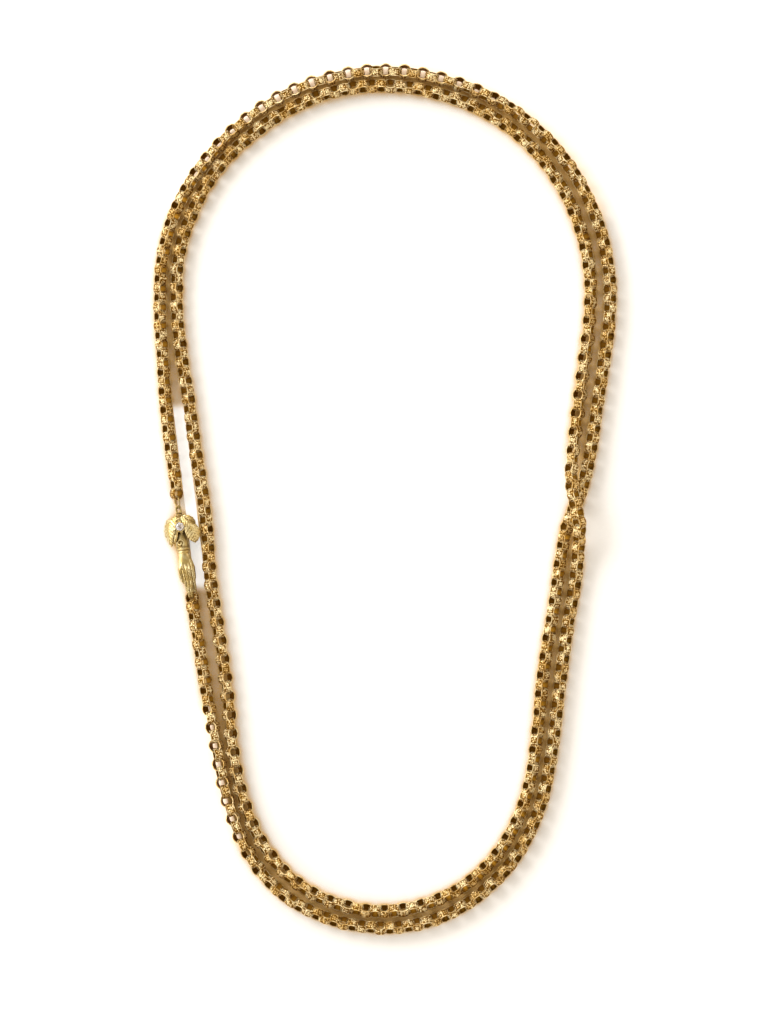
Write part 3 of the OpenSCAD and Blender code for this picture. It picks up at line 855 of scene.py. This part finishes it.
def hand_mesh():
    """Back of the hand, thumb and fingers, cast as one."""
    cast = Cast()
    cloud = bmesh.new()
    for at, size in HAND_BALLS:
        bmesh.ops.create_icosphere(cloud, subdivisions=3, radius=1.0,
                                   matrix=Matrix.Translation(at) @ Matrix.Diagonal((*size, 1)))
    for k in range(32):
        a = 2 * math.pi * k / 32
        for far in (0.02, 0.5):
            cloud.verts.new((WRIST_X + WRIST_END_R * math.cos(a), SEAM_Y - far,
                             WRIST_Z + WRIST_END_R * math.sin(a)))
    hull = bmesh.ops.convex_hull(cloud, input=cloud.verts)
    loose = [v for v in cloud.verts if not v.link_faces or v in set(hull["geom_interior"])]
    bmesh.ops.delete(cloud, geom=loose, context="VERTS")
    cloud.verts.index_update()
    cast.add([v.co.copy() for v in cloud.verts], [[v.index for v in f.verts] for f in cloud.faces])
    cloud.free()
    cast.tube(THUMB, [0.75, 0.8, 0.7, 0.62, 0.5, 0.12], sides=16)
    for knuckle, tip, bend in FINGERS:
        path, radii = [], []
        for i, (far, height, aside) in enumerate(bend):
            u = min(1.0, (far - 20) / 8)
            path.append((knuckle + (tip - knuckle) * u + aside, -far, height))
            radii.append(0.12 if i == len(bend) - 1 else 0.66 - 0.25 * min(1, i / 5)
                         + (0.05 if i in (1, 4) else 0.0))
        cast.tube(path, radii, sides=16, steps=60)
        sinew = [(knuckle * 0.55 + WRIST_X * 0.5, -17.2, 3.95),
                 (knuckle * 0.9 - 0.1, -19.4, 3.75), (knuckle, -21.4, 3.75)]
        cast.tube(sinew, [0.2, 0.42, 0.4], sides=10, steps=12)
    maker = show("hand_maker", cast.mesh("hand_rough"))
    melt = maker.modifiers.new("melt", "REMESH")
    melt.mode, melt.voxel_size, melt.use_smooth_shade = "VOXEL", 0.1, True
    polish = maker.modifiers.new("polish", "SMOOTH")
    polish.factor, polish.iterations = 0.5, 3
    mesh = plain_mesh(maker)
    if "engraving" in mesh.attributes:
        mesh.attributes.remove(mesh.attributes["engraving"])
    mark = mesh.attributes.new("engraving", "FLOAT_VECTOR", "POINT")
    for v in mesh.vertices:
        x, y, z = v.co
        depth = min(1.0, max(0.0, (-19.6 - y) / 2.5)) * (1.0 if z > 2 else 0.3)
        mark.data[v.index].vector = (x * (1.5 + (y + 21) * -0.07) + y * 0.12, depth, depth * 0.17)
    return mesh


def jump_ring_mesh():
    """Wire ring through the end link and the bail, soldered at its joint."""
    cast = Cast()
    cast.dirt_and_shade = 0.25
    ring_r, wire_r, joint_swell, joint_at = 2.075, 0.225, 0.05, 50
    tilt = Matrix.Translation((-0.03, 1.12, RING_Z)) @ Matrix.Rotation(math.radians(-67), 4, "Y")
    rings = []
    for i in range(64):
        a = 2 * math.pi * i / 64
        wire = wire_r + joint_swell * math.exp(-((i - joint_at) / 1.6) ** 2)
        out, up = Vector((math.cos(a), math.sin(a), 0)), Vector((0, 0, 1))
        rings.append([tilt @ (out * (ring_r + wire * math.cos(b)) + up * (wire * math.sin(b)))
                      for b in (2 * math.pi * k / 12 for k in range(12))])
    cast.rings(rings, loop=True)
    return cast.mesh("jump_ring_wire")


# Corners of the stone from table to point, to a radius of 1: [count, turn, radius, height]
STONE_RINGS = [[8, 0.0, 0.55, 0.32], [8, 22.5, 0.83, 0.2], [16, 11.25, 1.0, 0.04],
               [16, 11.25, 1.0, -0.04], [8, 22.5, 0.5, -0.46], [1, 0.0, 0.0, -0.8]]


def stone_mesh():
    """Brilliant: table, crown, girdle and pavilion."""
    gem = bmesh.new()
    for count, turn, radius, height in STONE_RINGS:
        for k in range(count):
            a = math.radians(turn + 360 * k / count)
            corner = Vector((radius * math.cos(a), radius * math.sin(a), height))
            gem.verts.new(STONE_AT + STONE_R * corner)
    bmesh.ops.convex_hull(gem, input=gem.verts)
    bmesh.ops.recalc_face_normals(gem, faces=gem.faces)
    mesh = bpy.data.meshes.new("stone")
    gem.to_mesh(mesh)
    gem.free()
    return mesh


def clasp_gold():
    """Pale greenish gold with engraved lines, and brown dirt and painted shade in the hollows,
    under the leaves and on the bell below them.
    """
    gold, tree, shader = new_finish("clasp_gold")
    line, cut, hollow = parts_of(tree, put(tree, "ShaderNodeAttribute",
                                           attribute_name="engraving").outputs["Vector"])
    spot = place_in(tree)
    cloud, fine = noise(tree, spot, 420.0, 4.0), noise(tree, spot, 2600.0, 2.0)
    groove = ((line + cloud * 0.5) * (2 * math.pi)).calc("SINE").ramp(0.0, 0.9) * cut
    tone = mixed(tree, cloud.ramp(0.4, 0.62), CLASP_DEEP, CLASP_PALE)
    mottle = (fine - 0.52) * (cut * 3.2 + 0.9)
    # painted shade with dirt: browner and rougher in the hollows, under the leaves, on the bell
    # and in the grooves
    dull = (hollow.ramp(0.03, 0.45) + groove * 0.75 + mottle).calc("MAXIMUM", 0.0)
    feed(tree, shader.inputs["Base Color"], mixed(tree, dull, tone, CLASP_DIRT_AND_SHADE))
    shader.inputs["Metallic"].default_value = 1.0
    feed(tree, shader.inputs["Roughness"], dull.ramp(0.0, 1.0) * 0.15 + 0.43)
    relief = put(tree, "ShaderNodeBump", {"Distance": 0.12 * MM, "Strength": 1.0})
    feed(tree, relief.inputs["Height"], groove * -1.0 + fine * (cut * 0.5 + 0.3) + cloud * 0.6)
    feed(tree, shader.inputs["Normal"], relief.outputs[0])
    return gold


def clear_stone():
    """Colourless cut stone, with a faint painted lilac glow."""
    glass, tree, shader = new_finish("clear_stone")
    cloud = noise(tree, place_in(tree), 900.0, 2.0)
    feed(tree, shader.inputs["Base Color"], mixed(tree, cloud, STONE_LOW, STONE_HIGH))
    shader.inputs["Roughness"].default_value = 0.0
    shader.inputs["IOR"].default_value = 2.2
    # painted light: a faint lilac glow in the stone
    shader.inputs["Emission Color"].default_value = (0.86, 0.8, 1.0, 1)
    shader.inputs["Emission Strength"].default_value = 0.06
    shader.inputs["Transmission Weight"].default_value = 1.0
    return glass


add_camera()
light_studio()
add_floor()

band_engraving = engraving_group()
gold_of_chain = chain_gold(band_engraving)
links = link_tree()
route = route_curve()
add_links("grip_link_engraved", links, route, 0, 0, gold_of_chain, ["grip_link"])
add_links("first_turn_links", links, route, 1, FIRST_TURN_LINKS, gold_of_chain,
          ["chain_first_turn"])
add_links("second_turn_links", links, route, FIRST_TURN_LINKS + 1, LINKS - 2, gold_of_chain,
          ["chain_second_turn"])
add_links("end_link_engraved", links, route, LINKS - 1, LINKS - 1, gold_of_chain, ["end_link"])

gold_of_clasp = clasp_gold()
cuff, hand, jump_ring = cuff_mesh(), hand_mesh(), jump_ring_mesh()
for metal in (cuff, hand, jump_ring):
    mark_hollows(metal)
add_clasp_piece("jump_ring_wire", jump_ring, gold_of_clasp, ["jump_ring"])
add_clasp_piece("clasp_cuff_cast", cuff, gold_of_clasp, ["clasp_cuff"])
add_clasp_piece("clasp_hand_cast", hand, gold_of_clasp, ["clasp_hand"], 180)
add_clasp_piece("cuff_stone_cut", stone_mesh(), clear_stone(), ["cuff_stone"], 1)
